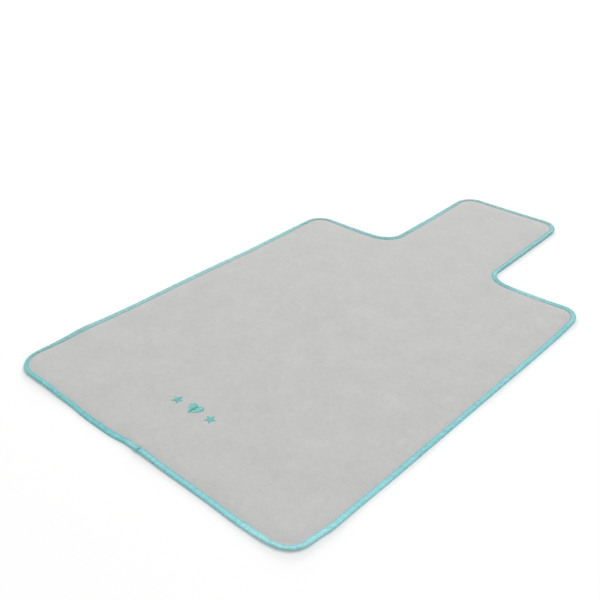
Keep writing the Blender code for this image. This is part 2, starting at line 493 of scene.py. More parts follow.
def read_points(item):
    """The piece's vertices, as rows of x, y and z."""
    points = np.empty(len(item.data.vertices) * 3)
    item.data.vertices.foreach_get("co", points)
    return points.reshape(-1, 3)


def write_points(item, points):
    """Move the piece's vertices to the points."""
    item.data.vertices.foreach_set("co", points.ravel())
    item.data.update()


def add_piece(name, solid, material):
    """Object made from a finished bmesh, shaded smooth."""
    bmesh.ops.recalc_face_normals(solid, faces=solid.faces)
    data = bpy.data.meshes.new(name)
    solid.to_mesh(data)
    solid.free()
    data.materials.append(material)
    data.shade_smooth()
    item = bpy.data.objects.new(name, data)
    bpy.context.scene.collection.objects.link(item)
    return item


def one_thread(sides, rings):
    """Mesh of one plump, blunt-ended thread along X, one unit in radius each way."""
    solid = bmesh.new()
    bmesh.ops.create_uvsphere(
        solid, u_segments=sides, v_segments=rings, radius=1, matrix=Matrix.Rotation(math.pi / 2, 4, "Y")
    )
    for vert in solid.verts:
        thin = math.hypot(vert.co.y, vert.co.z)
        if thin > 0.001:
            vert.co.yz = (vert.co.y / math.sqrt(thin), vert.co.z / math.sqrt(thin))
    data = bpy.data.meshes.new("one_thread")
    solid.to_mesh(data)
    solid.free()
    return data


def add_copy(solid, data, place):
    """Add a copy of the mesh data to the bmesh, moved by the matrix place."""
    copy = data.copy()
    copy.transform(place)
    solid.from_mesh(copy)
    bpy.data.meshes.remove(copy)


def thicken(solid, thickness):
    """Close a flat face into a solid by raising a copy of it."""
    made = bmesh.ops.extrude_face_region(solid, geom=solid.faces[:])
    top = [part for part in made["geom"] if isinstance(part, bmesh.types.BMVert)]
    bmesh.ops.translate(solid, verts=top, vec=(0, 0, thickness))


def fold_with_tab(item):
    """Bake the piece's place into its mesh; the piece runs from the pad into the tab."""
    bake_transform(item)


def cut_places(low, high, step, fine=()):
    """Places from low to high, one step apart, with a finer run between the two ends of fine."""
    places = list(np.arange(low + step / 2, high, step))
    if fine:
        start, end, fine_step = fine
        places = [place for place in places if not start < place < end]
        places += list(np.arange(start, end, fine_step))
    return places


# Insets of the rings that follow the cloths' edge, close together over the slope beside the seam
RING_INSETS = [CLOTH_INSET, 4 * MM, 7 * MM, 8.2 * MM, 9.5 * MM, 11.5 * MM, WADDING_INSET]
RING_INSETS += [17 * MM, 20 * MM, 24 * MM]
# Spacing of the cuts where the tab folds
FOLD_STEP = 1 * MM
# Shortest edge that is kept: the cuts leave slivers beside the innermost ring, which would show as creases
SLIVER = 0.3 * MM


def flat_layer(shape):
    """Flat face of the outline's shape: rings along its edge, a grid inside, finer where the tab folds."""
    solid = bmesh.new()
    corners = outline_places(shape, shape.mesh_step, CLOTH_INSET)
    middle = solid.faces.new([solid.verts.new((x, y, 0)) for x, y in corners[:, :2]])
    for outer, inner in zip(RING_INSETS, RING_INSETS[1:]):
        bmesh.ops.inset_region(
            solid, faces=[middle], thickness=inner - outer, use_boundary=True, use_even_offset=True
        )
    field = [middle, *middle.edges, *middle.verts]
    step = shape.mesh_step
    cuts = [(Vector((1, 0, 0)), place) for place in cut_places(-SIDE, SIDE, step)]
    fine = (FOLD_Y - FOLD_STEP, FOLD_Y + BEND_LENGTH + FOLD_STEP, FOLD_STEP)
    cuts += [(Vector((0, 1, 0)), place) for place in cut_places(FRONT_Y, TIP_Y, step, fine)]
    for axis, place in cuts:
        made = bmesh.ops.bisect_plane(solid, geom=field, dist=1e-7, plane_co=axis * place, plane_no=axis)
        field = made["geom"]
    bmesh.ops.remove_doubles(solid, verts=solid.verts, dist=SLIVER)
    many_sided = [face for face in solid.faces if len(face.verts) > 4]
    bmesh.ops.triangulate(solid, faces=many_sided, ngon_method="BEAUTY")
    return solid


def layer_solid(shape, thickness, inset=0.0):
    """Closed flat cloth of one thickness, lying on the ground plane, starting at inset from the outline."""
    if "flat_layer" not in bpy.data.meshes:
        flat = flat_layer(shape)
        flat.to_mesh(bpy.data.meshes.new("flat_layer"))
        flat.free()
    solid = bmesh.new()
    solid.from_mesh(bpy.data.meshes["flat_layer"])
    if inset > 0:
        points = np.array([vert.co for vert in solid.verts])
        depth = measure_inset(shape, points)[0]
        # The ring that lies at the inset itself stays
        outside = [vert for vert, deep in zip(solid.verts, depth) if deep < inset - 0.5 * MM]
        bmesh.ops.delete(solid, geom=outside, context="VERTS")
    thicken(solid, thickness)
    return solid


def set_heights(item, shape, heights):
    """Move each vertex to what heights gives for its height and its inset."""
    points = read_points(item)
    points[:, 2] = heights(points[:, 2], measure_inset(shape, points)[0])
    write_points(item, points)


# ---------------------------------------------------------------------------
# Materials
# ---------------------------------------------------------------------------

# Sockets of a Mix node that mixes colours
MIX_A, MIX_B, MIX_RESULT = 6, 7, 2
WHITE = (1, 1, 1, 1)
# The ground, a little off white
GROUND_COLOUR = (0.975, 0.972, 0.97, 1)


def set_inputs(tree, node, inputs):
    """Set the node's inputs to values, or join them to other nodes' outputs."""
    for name, value in inputs.items():
        if isinstance(value, bpy.types.NodeSocket):
            tree.links.new(value, node.inputs[name])
        else:
            node.inputs[name].default_value = value


def add_node(tree, kind, inputs=None, **settings):
    """Add a node with its settings and its inputs."""
    node = tree.nodes.new(kind)
    for name, value in settings.items():
        setattr(node, name, value)
    set_inputs(tree, node, inputs or {})
    return node


def new_material(name):
    """Empty material: its tree, and a Principled shader already joined to the output."""
    material = bpy.data.materials.new(name)
    material.use_nodes = True
    tree = material.node_tree
    return material, tree, tree.nodes["Principled BSDF"]


def shade_and_bump(tree, shader, colour, shade, height, depth, strength):
    """Give the shader a colour times a shade, and a bump of this depth and strength."""
    colour = add_node(tree, "ShaderNodeVectorMath", {0: colour, "Scale": shade}, operation="SCALE")
    bump = add_node(tree, "ShaderNodeBump", {"Height": height, "Distance": depth, "Strength": strength})
    set_inputs(tree, shader, {"Base Color": colour.outputs["Vector"], "Normal": bump.outputs["Normal"]})


def velour_material(colours):
    """Brushed polyester velour: a short pile, matt, cloudy where it leans this way and that."""
    material, tree, shader = new_material("brushed_polyester_velour")
    place = add_node(tree, "ShaderNodeTexCoord").outputs["Object"]
    # Soft clouds where the whole pile leans, patches where tufts lean together, and the tufts themselves. A
    # tuft is about 0.3 mm across; it is drawn at about 2 mm, or it would not show
    sizes = ((45 * MM, 3.0), (8 * MM, 2.0), (2.2 * MM, 2.0))
    lumps = [{"Vector": place, "Scale": 1 / size, "Detail": detail} for size, detail in sizes]
    cloud, patch, tuft = (add_node(tree, "ShaderNodeTexNoise", inputs).outputs["Fac"] for inputs in lumps)
    blend = add_node(tree, "ShaderNodeMix", {"Factor": 0.58, "A": cloud, "B": tuft}, data_type="FLOAT")
    blend = add_node(
        tree, "ShaderNodeMix", {"Factor": 0.3, "A": blend.outputs["Result"], "B": patch}, data_type="FLOAT"
    )
    limits = {"From Min": 0.35, "From Max": 0.65, "To Min": 0.93, "To Max": 1.055}
    shade = add_node(tree, "ShaderNodeMapRange", {"Value": blend.outputs["Result"], **limits})
    shade_and_bump(tree, shader, colours.velour[:], shade.outputs["Result"], tuft, 0.25 * MM, 0.5)
    finish = {"Roughness": 0.9, "Specular IOR Level": 0.2, "Sheen Weight": 0.15, "Sheen Roughness": 0.5}
    set_inputs(tree, shader, finish)
    return material


# Stretches of the tape painted lighter or darker, redder or bluer, as painted light and painted shade:
# middle, reach and shares of the colour
PAINTED_LIGHT_AND_SHADE_STRETCHES = [
    ((-0.55 * SIDE, FRONT_Y), 160 * MM, (0.73, 0.92, 0.9)),
    ((SIDE, FRONT_Y + 50 * MM), 170 * MM, (1.25, 1.12, 1.11)),
    ((0.97 * SIDE, FRONT_Y + 8 * MM), 80 * MM, (1.2, 1.07, 1.06)),
    ((-SIDE, -180 * MM), 330 * MM, (1.4, 1.0, 0.95)),
    ((0.75 * SIDE, BACK_Y), 90 * MM, (1.45, 1.1, 1.06)),
    ((SIDE, BACK_Y - 20 * MM), 80 * MM, (0.78, 0.92, 0.92)),
    ((1.1 * TAB_SIDE, BACK_Y + 14 * MM), 50 * MM, (0.74, 0.87, 0.85)),
    ((-0.82 * SIDE, FRONT_Y), 90 * MM, (0.84, 1.0, 1.03)),
    ((TAB_SIDE, FOLD_Y + 100 * MM), 130 * MM, (0.68, 0.79, 0.78)),
    ((-TAB_SIDE, FOLD_Y + 80 * MM), 120 * MM, (1.05, 0.91, 0.86)),
    ((-0.75 * SIDE, BACK_Y), 130 * MM, (1.02, 0.86, 0.81)),
    ((-0.2 * TAB_SIDE, TIP_Y), 130 * MM, (1.25, 0.92, 0.87)),
]
# Shares of the satin's colour where its threads lean one way and the other
GREENER = (0.95, 1.0, 0.95)
BLUER = (1.05, 1.0, 1.04)


def satin_material(colours):
    """Polyester satin bias tape: smooth floats of thread that give a soft, streaky gloss."""
    material, tree, shader = new_material("polyester_satin_tape")
    run = add_node(tree, "ShaderNodeUVMap", uv_map="tape").outputs["UV"]
    # Streaks 3.5 by 12 mm slant across the tape, as its threads run on the bias. Their lighter and darker
    # colour is painted sheen and painted shade of the puckers, and they bump the surface too
    slant = {"Rotation": (0.0, 0.0, 0.6), "Scale": (1 / (3.5 * MM), 1 / (12 * MM), 1.0)}
    slanted = add_node(tree, "ShaderNodeMapping", {"Vector": run, **slant}).outputs["Vector"]
    noise = add_node(tree, "ShaderNodeTexNoise", {"Vector": slanted, "Scale": 1.0, "Detail": 2.0})
    streak = noise.outputs["Fac"]
    limits = {"From Min": 0.3, "From Max": 0.7, "To Min": 0.87, "To Max": 1.11}
    shade = add_node(tree, "ShaderNodeMapRange", {"Value": streak, **limits})
    # The floats lean this way and that every 8 mm or so, and look bluer or greener with it
    spaced = add_node(tree, "ShaderNodeMapping", {"Vector": run, "Scale": (1 / (8 * MM), 1 / (8 * MM), 1.0)})
    lean = add_node(
        tree, "ShaderNodeTexNoise", {"Vector": spaced.outputs["Vector"], "Detail": 1.0, "Scale": 1.0}
    )
    lean = add_node(
        tree, "ShaderNodeMapRange", {"Value": lean.outputs["Fac"], "From Min": 0.35, "From Max": 0.65}
    )
    greener, bluer = ((*[a * b for a, b in zip(colours.satin, shares)], 1) for shares in (GREENER, BLUER))
    tint = add_node(
        tree,
        "ShaderNodeMix",
        {"Factor": lean.outputs["Result"], MIX_A: greener, MIX_B: bluer},
        data_type="RGBA",
    ).outputs[MIX_RESULT]
    place = add_node(tree, "ShaderNodeTexCoord").outputs["Object"]
    # Each stretch paints light or shade into the tape's colour
    for middle, reach, shares in PAINTED_LIGHT_AND_SHADE_STRETCHES:
        away = add_node(tree, "ShaderNodeVectorMath", {0: place, 1: (*middle, 0.0)}, operation="DISTANCE")
        near = add_node(
            tree,
            "ShaderNodeMapRange",
            {"Value": away.outputs["Value"], "From Min": reach, "From Max": 0.5 * reach},
            interpolation_type="SMOOTHSTEP",
        )
        shaded_tint = add_node(tree, "ShaderNodeVectorMath", {0: tint, 1: shares}, operation="MULTIPLY")
        tint = add_node(
            tree,
            "ShaderNodeMix",
            {"Factor": near.outputs["Result"], MIX_A: tint, MIX_B: shaded_tint.outputs["Vector"]},
            data_type="RGBA",
        ).outputs[MIX_RESULT]
    shade_and_bump(tree, shader, tint, shade.outputs["Result"], streak, 0.2 * MM, 0.4)
    finish = {"Roughness": 0.5, "Specular IOR Level": 0.22, "Sheen Weight": 0.22, "Sheen Roughness": 0.4}
    set_inputs(tree, shader, finish)
    return material


def thread_material(name, colour, roughness):
    """Spun polyester or rayon thread: twisted, so it is soft-glossy with fine slanting ply lines."""
    material, tree, shader = new_material(name)
    place = add_node(tree, "ShaderNodeTexCoord").outputs["Object"]
    # At this scale the ply lines lie about 0.75 mm apart
    ply = add_node(
        tree,
        "ShaderNodeTexWave",
        {"Vector": place, "Scale": 1 / (2.4 * MM), "Distortion": 0.6},
        bands_direction="DIAGONAL",
    )
    bump = add_node(
        tree, "ShaderNodeBump", {"Height": ply.outputs["Fac"], "Distance": 0.08 * MM, "Strength": 0.5}
    )
    finish = {"Base Color": (*colour, 1), "Roughness": roughness, "Normal": bump.outputs["Normal"]}
    set_inputs(tree, shader, finish)
    return material


def woven_material(colours):
    """Plain-woven polyester: matt, with threads over and under at right angles."""
    material, tree, shader = new_material("plain_woven_polyester")
    place = add_node(tree, "ShaderNodeTexCoord").outputs["Object"]
    # The threads lie 0.5 mm apart; bands of the wave texture lie 0.314 apart at scale 1
    pitch = 0.314 / (0.5 * MM)
    warp, weft = (
        add_node(tree, "ShaderNodeTexWave", {"Vector": place, "Scale": pitch}, bands_direction=axis)
        for axis in "XY"
    )
    crossed = {0: warp.outputs["Fac"], 1: weft.outputs["Fac"]}
    weave = add_node(tree, "ShaderNodeMath", crossed, operation="MULTIPLY").outputs["Value"]
    shade = add_node(tree, "ShaderNodeMapRange", {"Value": weave, "To Min": 0.9, "To Max": 1.08})
    shade_and_bump(tree, shader, colours.base[:], shade.outputs["Result"], weave, 0.1 * MM, 0.5)
    set_inputs(tree, shader, {"Roughness": 0.8, "Specular IOR Level": 0.3})
    return material


def plain_fibre_material(name, code, roughness, lump):
    """White non-woven, felt or film: one colour, with a surface of small lumps."""
    material, tree, shader = new_material(name)
    place = add_node(tree, "ShaderNodeTexCoord").outputs["Object"]
    noise = add_node(tree, "ShaderNodeTexNoise", {"Vector": place, "Scale": 1 / lump, "Detail": 4.0})
    fibre = noise.outputs["Fac"]
    shade = add_node(tree, "ShaderNodeMapRange", {"Value": fibre, "To Min": 0.92, "To Max": 1.04})
    shade_and_bump(tree, shader, linear(code), shade.outputs["Result"], fibre, 0.1 * MM, 0.4)
    set_inputs(tree, shader, {"Roughness": roughness})
    return material


def ground_material():
    """White ground: matt paint that keeps the pad's soft shadow, and shows pure white away from it."""
    material, tree, shader = new_material("white_ground")
    light_path = add_node(tree, "ShaderNodeLightPath")
    # The faint glow is for the camera alone, and throws no light on the pad
    glow = add_node(
        tree, "ShaderNodeMath", {0: light_path.outputs["Is Camera Ray"], 1: 0.065}, operation="MULTIPLY"
    )
    finish = {"Base Color": GROUND_COLOUR, "Roughness": 0.9, "Specular IOR Level": 0.0}
    finish.update({"Emission Color": WHITE, "Emission Strength": glow.outputs["Value"]})
    set_inputs(tree, shader, finish)
    return material


# ---------------------------------------------------------------------------
# Stage
# ---------------------------------------------------------------------------

# The camera stands beyond the front right corner and looks down across the pad to its far left. Its lens is
# given in millimetres, and how far it is tipped down, turned left and rolled in degrees
CAMERA_PLACE = (0.6352, -0.8384, 0.6343)
CAMERA_LENS = 50.7
CAMERA_DOWN, CAMERA_LEFT, CAMERA_ROLL = 30.81, 42.26, -0.27
# Large soft lamps behind the pad: one above it, and one low, whose light rakes over the cloth. Each row is
# name, place, side in metres and power in watts
LAMPS = [
    ("high_lamp", (1.2, 1.7, 5.8), 4.3, 112),
    ("low_lamp", (-4.7, 5.4, 2.34), 2.9, 200),
]
LAMPS_AIM = Vector((0, -0.05, 0))
# Strength of the sky's light on the pad; the camera and reflections see it as white
SKY_LIGHT = 0.64


class PAD_OT_set_stage(bpy.types.Operator):
    """Set the camera, the white ground, the sky and the lamps"""

    bl_idname = "changing_pad.set_stage"
    bl_label = "Set Stage"

    def execute(self, context):
        scene = context.scene
        scene.view_settings.view_transform = "Standard"
        self.add_camera(scene)
        self.add_ground(scene)
        self.add_sky(scene)
        self.add_lamps(scene)
        return {"FINISHED"}

    def add_camera(self, scene):
        """Camera held a little askew."""
        data = bpy.data.cameras.new("camera")
        data.sensor_width = 36
        data.lens = CAMERA_LENS
        camera = bpy.data.objects.new("camera", data)
        camera.location = CAMERA_PLACE
        level = Euler((math.radians(90 - CAMERA_DOWN), 0, math.radians(CAMERA_LEFT)))
        roll = Matrix.Rotation(math.radians(CAMERA_ROLL), 3, "Z")
        camera.rotation_euler = (level.to_matrix() @ roll).to_euler()
        scene.collection.objects.link(camera)
        scene.camera = camera

    def add_ground(self, scene):
        """Wide flat ground just under the pad."""
        solid = bmesh.new()
        bmesh.ops.create_grid(solid, x_segments=1, y_segments=1, size=8)
        bmesh.ops.translate(solid, verts=solid.verts, vec=(0, 0, -0.1 * MM))
        data = bpy.data.meshes.new("ground")
        solid.to_mesh(data)
        solid.free()
        data.materials.append(ground_material())
        ground = bpy.data.objects.new("ground", data)
        scene.collection.objects.link(ground)

    def add_sky(self, scene):
        """Even dome of light, seen as white by the camera and in reflections."""
        world = bpy.data.worlds.new("sky")
        world.use_nodes = True
        scene.world = world
        tree = world.node_tree
        rays = add_node(tree, "ShaderNodeLightPath").outputs
        seen = rays["Is Camera Ray"]
        for ray in ("Is Glossy Ray", "Is Transmission Ray"):
            either = add_node(tree, "ShaderNodeMath", {0: seen, 1: rays[ray]}, operation="MAXIMUM")
            seen = either.outputs["Value"]
        strength = add_node(tree, "ShaderNodeMapRange", {"Value": seen, "To Min": SKY_LIGHT, "To Max": 1.0})
        glow = {"Color": WHITE, "Strength": strength.outputs["Result"]}
        set_inputs(tree, tree.nodes["Background"], glow)

    def add_lamps(self, scene):
        """Square lamps turned to the pad."""
        for name, place, size, energy in LAMPS:
            data = bpy.data.lights.new(name, "AREA")
            data.shape = "SQUARE"
            data.size = size
            data.energy = energy
            lamp = bpy.data.objects.new(name, data)
            lamp.location = place
            lamp.rotation_euler = (LAMPS_AIM - lamp.location).to_track_quat("-Z", "Y").to_euler()
            scene.collection.objects.link(lamp)


# ---------------------------------------------------------------------------
# Cloths
# ---------------------------------------------------------------------------

# Share of its thickness that the cover loses where the tape holds it, and how soon it is free beyond that
COVER_PRESS = 0.2
COVER_FREES = 3 * MM


def cover_level(inset):
    """Height of the cover's underside: low in the binding, then a soft shoulder up to the open field."""
    share = np.clip((inset - SLOPE_START) / COVER_SLOPE, 0, 1)
    return COVER_RIM + (COVER_FIELD - COVER_RIM) * (1 - (1 - share) ** 1.8)


def cover_height(height, inset):
    """Height in the cover, which is pressed thinner where the tape holds it."""
    raised = height + cover_level(inset)
    held = 1 - rise(inset, SLOPE_START, COVER_FREES)
    return raised - (raised - COVER_RIM) * COVER_PRESS * held


def base_level(inset, rim, field):
    """Height of the underside of a cloth below the wadding: higher in the binding than in the open field."""
    return field + (rim - field) * (1 - rise(inset, SLOPE_START, BASE_SLOPE))


class PAD_OT_add_base_cloth(bpy.types.Operator):
    """Add the woven base cloth that lies on the ground"""

    bl_idname = "changing_pad.add_base_cloth"
    bl_label = "Add Base Cloth"

    def execute(self, context):
        shape = context.scene.pad_shape
        solid = layer_solid(shape, BASE_THICKNESS)
        item = add_piece("base_cloth", solid, woven_material(context.scene.pad_colours))
        set_heights(item, shape, lambda height, inset: height + base_level(inset, BASE_RIM, BASE_FIELD))
        settle(item, shape)
        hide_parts("base_cloth_pad", "base_cloth_tab")
        fold_with_tab(item)
        return {"FINISHED"}


class PAD_OT_add_waterproof_film(bpy.types.Operator):
    """Add the waterproof film that lies on the base cloth"""

    bl_idname = "changing_pad.add_waterproof_film"
    bl_label = "Add Waterproof Film"

    def execute(self, context):
        shape = context.scene.pad_shape
        solid = layer_solid(shape, FILM_THICKNESS)
        material = plain_fibre_material("polyurethane_film", "e9eaeb", 0.35, 3 * MM)
        item = add_piece("waterproof_film", solid, material)
        set_heights(item, shape, lambda height, inset: height + base_level(inset, FILM_RIM, FILM_FIELD))
        settle(item, shape)
        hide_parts("waterproof_film_pad", "waterproof_film_tab")
        fold_with_tab(item)
        return {"FINISHED"}


class PAD_OT_add_wadding(bpy.types.Operator):
    """Add the wadding, which thins out towards the binding"""

    bl_idname = "changing_pad.add_wadding"
    bl_label = "Add Wadding"

    def execute(self, context):
        shape = context.scene.pad_shape
        solid = layer_solid(shape, 1 * MM, WADDING_INSET)
        material = plain_fibre_material("needle_punched_wadding", "eeeeec", 0.95, 1.5 * MM)
        item = add_piece("wadding_core", solid, material)
        on_top = read_points(item)[:, 2] > 0
        # Its underside lies flat on the film, and its top follows the cover
        set_heights(
            item,
            shape,
            lambda height, inset: np.where(on_top, cover_level(inset) - WADDING_GAP, WADDING_FIELD),
        )
        settle(item, shape, share=on_top)
        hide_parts("wadding_pad", "wadding_tab")
        fold_with_tab(item)
        return {"FINISHED"}


class PAD_OT_add_top_cover(bpy.types.Operator):
    """Add the velour top cover, which rises from the binding to the wadding's level"""

    bl_idname = "changing_pad.add_top_cover"
    bl_label = "Add Top Cover"

    def execute(self, context):
        shape = context.scene.pad_shape
        solid = layer_solid(shape, COVER_THICKNESS)
        item = add_piece("velour_cover", solid, velour_material(context.scene.pad_colours))
        set_heights(item, shape, cover_height)
        settle(item, shape, share=1.0)
        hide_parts("top_cover_pad", "top_cover_tab")
        fold_with_tab(item)
        return {"FINISHED"}


# ---------------------------------------------------------------------------
# Binding
# ---------------------------------------------------------------------------

# Points across the tape: under the seam, from there to the heel, round each arc, and over the upper leg
UNDER_SEAM_POINTS, UNDERSIDE_POINTS, ARC_POINTS, UPPER_LEG_POINTS = 6, 4, 4, 12


def tape_section(tape):
    """Points over the tape's outer face, from its lower edge round the nose to its upper edge.

    Each row is (inset, height, outward inset, outward height, distance across).
    """
    beside_seam = SEAM_INSET - 1 * MM
    points = [(inset, 0.0) for inset in np.linspace(tape.leg, beside_seam, UNDER_SEAM_POINTS)]
    points += [(inset, 0.0) for inset in np.linspace(beside_seam, HEEL, UNDERSIDE_POINTS)[1:-1]]
    for radius, height, first in ((HEEL, HEEL, 270), (NOSE, tape.bead - NOSE, 180)):
        for step in range(ARC_POINTS):
            angle = math.radians(first - 90 * step / (ARC_POINTS - 1))
            points.append((radius + radius * math.cos(angle), height + radius * math.sin(angle)))
    for inset in np.linspace(NOSE, tape.leg, UPPER_LEG_POINTS)[1:]:
        fall = rise(inset, 2 * NOSE, SEAM_INSET - 2 * NOSE)
        points.append((inset, tape.bead + (tape.seam - tape.bead) * fall))
    points = np.array(points)
    tangent = np.gradient(points, axis=0)
    tangent /= np.linalg.norm(tangent, axis=1)[:, None]
    runs = np.linalg.norm(np.diff(points, axis=0), axis=1)
    across = np.concatenate([[0], np.cumsum(runs)])
    return np.column_stack([points, -tangent[:, 1], tangent[:, 0], across])


def lap_lump(along):
    """Height of the low lump that the lapped end makes in the tape."""
    return 0.45 * MM * hump(along, LAP_EDGE, 9 * MM)


def tape_swell(tape, along, across, inset, on_top):
    """How far the tape's face stands out: slanting puckers on the bead, a groove along each seam."""
    slanted = along + across * 0.8
    ridges = 0.6 * edge_waves(slanted, across * 0.15, 5 * MM, TAPE_PUCKERS)
    ridges += 0.4 * edge_waves(slanted, across * 0.5, 11 * MM, TAPE_FOLDS)
    strength = 0.7 + 0.3 * edge_waves(along, 0, 90 * MM, TAPE_PATCHES)
    # The puckers are strong on the bead, weak beyond the seam and on the nose, and faint underneath
    free = rise(SEAM_INSET - inset, 0, 3 * MM) + 0.3 * rise(inset, SEAM_INSET, 1.5 * MM)
    free *= 0.35 + 0.65 * rise(inset, NOSE, 2 * MM)
    puckers = tape.pucker * ridges * strength * free * (0.15 + 0.85 * on_top)
    groove = GROOVE * (1.8 - 0.8 * on_top) * hump(inset, SEAM_INSET, 0.7 * MM)
    lip = LIP * rise(inset, SEAM_INSET, 0.6 * MM)
    # Beside the lapped end the tape is pressed down and then bulges
    past = along - LAP_EDGE
    dip_and_bulge = 0.5 * hump(past, 4.2 * MM, 2.2 * MM) - 0.9 * hump(past, 0.9 * MM, 1.3 * MM)
    beside = dip_and_bulge * MM * hump(inset, 3.6 * MM, 1.8 * MM)
    return puckers - groove + (lip + lap_lump(along) + beside) * on_top


# Stretches where the tape shows less of its width than usual, or more: x, y, share lost and reach
NARROW_STRETCHES = [
    (-SIDE, -120 * MM, -0.16, 230 * MM),
    (-0.96 * SIDE, BACK_Y - 10 * MM, 0.3, 30 * MM),
    (-0.60 * SIDE, BACK_Y, -0.12, 50 * MM),
    (0.68 * SIDE, BACK_Y, -0.16, 50 * MM),
    (SIDE, -120 * MM, 0.1, 250 * MM),
    (-TAB_SIDE, FOLD_Y + 85 * MM, -0.12, 80 * MM),
    (-0.92 * TAB_SIDE, TIP_Y - 8 * MM, 0.3, 30 * MM),
    (0.1 * TAB_SIDE, TIP_Y, -0.1, 50 * MM),
    (0.92 * SIDE, FRONT_Y + 5 * MM, 0.4, 20 * MM),
    (-0.98 * SIDE, FRONT_Y + 32 * MM, 0.36, 34 * MM),
    (-0.60 * SIDE, FRONT_Y, 0.19, 90 * MM),
    (0.45 * SIDE, FRONT_Y, 0.04, 80 * MM),
    (-1 * MM, FRONT_Y, 0.22, 8 * MM),
]


def narrow(places, inset):
    """Inset on the tape at each place, where the tape is turned further under than usual, or less."""
    share = np.ones(len(places))
    for place_x, place_y, loss, reach in NARROW_STRETCHES:
        share -= loss * hump(np.hypot(places[:, 0] - place_x, places[:, 1] - place_y), 0, reach)
    return np.where(inset > NOSE, NOSE + (inset - NOSE) * share[:, None], inset)


def tape_rings(tape, places, along, extra=0.0):
    """Closed ring of points round the tape's section at each place, and the width across at each."""
    section = tape_section(tape)
    inset, height, out_inset, out_height, across = section.T[:, None, :]
    on_top = np.clip(height / tape.seam, 0, 1)
    swell = tape_swell(tape, along[:, None], across, inset, on_top) + extra
    faces = []
    for depth in (0.0, tape.thickness):
        deep = narrow(places, inset) + out_inset * (swell - depth)
        high = np.maximum(height + out_height * (swell - depth), 0)
        x = places[:, 0][:, None] - places[:, 2][:, None] * deep
        y = places[:, 1][:, None] - places[:, 3][:, None] * deep
        faces.append(np.stack([x, y, high], axis=-1))
    outer, inner = faces
    # The free edges are turned under, and so they are round
    caps = [(outer[:, side : side + 1] + inner[:, side : side + 1]) / 2 for side in (0, outer.shape[1] - 1)]
    for cap in caps:
        cap[..., :2] -= places[:, None, 2:4] * tape.thickness / 2
    rings = np.concatenate([outer, caps[1], inner[:, ::-1], caps[0]], axis=1)
    width = section[:, 4]
    return rings, np.concatenate([width, width[-1:], width[::-1], width[:1]])


def sleeve(rings, lengths, widths, endless):
    """Tube through the rings of points, with its length and width stored as the UV map tape.

    An endless tube closes on itself, and any other has its two ends filled.
    """
    rows, columns = rings.shape[:2]
    spans = rows if endless else rows - 1
    solid = bmesh.new()
    chart = solid.loops.layers.uv.new("tape")
    bmesh.ops.create_grid(solid, x_segments=spans, y_segments=columns, size=1)
    lengths = np.append(lengths, lengths[-1] + (lengths[1] - lengths[0]))
    widths = np.append(widths, widths[0])
    for vert in solid.verts:
        row = round((vert.co.x + 1) / 2 * spans)
        column = round((vert.co.y + 1) / 2 * columns)
        vert.co = rings[row % rows, column % columns]
        for loop in vert.link_loops:
            loop[chart].uv = (lengths[row], widths[column])
    bmesh.ops.remove_doubles(solid, verts=solid.verts, dist=1e-6)
    if not endless:
        bmesh.ops.holes_fill(solid, edges=[edge for edge in solid.edges if edge.is_boundary], sides=0)
    return solid


class PAD_OT_add_edge_binding(bpy.types.Operator):
    """Add the satin tape that binds the whole outline"""

    bl_idname = "changing_pad.add_edge_binding"
    bl_label = "Add Edge Binding"

    def execute(self, context):
        shape, tape = context.scene.pad_shape, context.scene.tape_shape
        places = outline_places(shape, 1.5 * MM)
        rings, widths = tape_rings(tape, places, around_front(places))
        solid = sleeve(rings, places[:, 4], widths, endless=True)
        item = add_piece("satin_binding", solid, satin_material(context.scene.pad_colours))
        settle(item, shape)
        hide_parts("edge_binding_pad", "edge_binding_tab")
        fold_with_tab(item)
        return {"FINISHED"}


class PAD_OT_add_binding_lap(bpy.types.Operator):
    """Add the tape's turned-under end, lapped over its start at the middle of the front edge"""

    bl_idname = "changing_pad.add_binding_lap"
    bl_label = "Add Binding Lap"

    def execute(self, context):
        shape, tape = context.scene.pad_shape, context.scene.tape_shape
        along = np.linspace(LAP_LOW.x - 6 * MM, LAP_EDGE, 24)
        zero = np.zeros_like(along)
        places = np.column_stack([along, zero + FRONT_Y, zero, zero - 1, along])
        # Share of the way from the hidden end to the turned-under one
        share = np.linspace(0, 1, len(along))[:, None]
        inset = tape_section(tape)[:, 0][None, :]
        # The hidden end dives into the binding, and the tape climbs from there until it lies on it
        climb = -0.5 * MM + 0.95 * MM * rise(share, 0, 1 / 1.2)
        # The end swells where it is turned under, and its inner edge stands up a little
        puff = 1.4 * MM * hump(share, 0.95, 0.06) * hump(inset, 3.6 * MM, 1.5 * MM)
        flare = 0.3 * MM * rise(inset, 5.8 * MM, 1.8 * MM) * rise(share, 0, 1 / 1.6)
        rings, widths = tape_rings(tape, places, along, climb + puff + flare)
        # The turned-under end is cut on the slant
        slant = (widths - widths.mean()) * -0.06
        rings[..., 0] += slant[None, :] * share**3
        # Its inner edge also spreads further over the cover than the binding's
        inner_edge = rise(rings[..., 1], FRONT_Y + 5.8 * MM, 1.5 * MM) * rise(rings[..., 2], 1 * MM, 1 * MM)
        rings[..., 1] += 1.8 * MM * inner_edge * hump(share, 0.5, 0.24)
        solid = sleeve(rings, along, widths, endless=False)
        item = add_piece("binding_lap_end", solid, satin_material(context.scene.pad_colours))
        settle(item, shape)
        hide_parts("binding_lap")
        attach(item, "pad")
        return {"FINISHED"}


